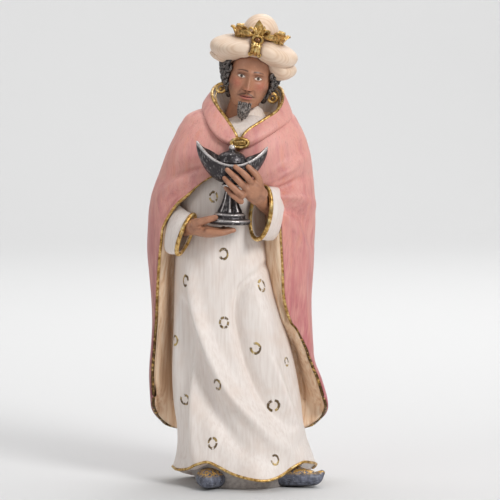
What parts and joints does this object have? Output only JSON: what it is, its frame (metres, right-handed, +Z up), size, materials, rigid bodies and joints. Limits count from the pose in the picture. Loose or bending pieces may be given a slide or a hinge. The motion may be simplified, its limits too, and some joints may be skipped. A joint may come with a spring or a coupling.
{
  "type": "nativity wise man figurine",
  "caption": "Standing nativity wise man in turban, coronet, long robe and open cape, holding a covered boat-shaped cup; carved and painted wood.",
  "frame": {"origin": "on the floor under the middle of the robe, on the carving's flat underside", "axes": "+Z up along the figure, -Y the way it faces, +X to the onlooker's right"},
  "size_m": [0.0463, 0.039, 0.1202],
  "materials": {
    "cape_paint": "satin, thin dusty pink paint brushed over the grain, mauve in the shade",
    "lining_paint": "satin, cream to tan stain that shows the grain",
    "robe_paint": "satin, off-white paint with fine upright brush lines",
    "turban_paint": "satin, beige stain that shows the growth rings",
    "skin_paint": "satin, brown skin with painted lips, brows, eyes and cheeks",
    "hair_paint": "matt, black brushed with grey",
    "gilding": "antiqued gold leaf, dark in the hollows and bright on the edges",
    "silvering": "blackened silver, rubbed bright on the edges",
    "shoe_paint": "satin, slate blue paint with a small gilt figure on the instep"
  },
  "bodies": {
    "root": {"wise_man_figurine": "cape_paint"}
  },
  "joints": []
}
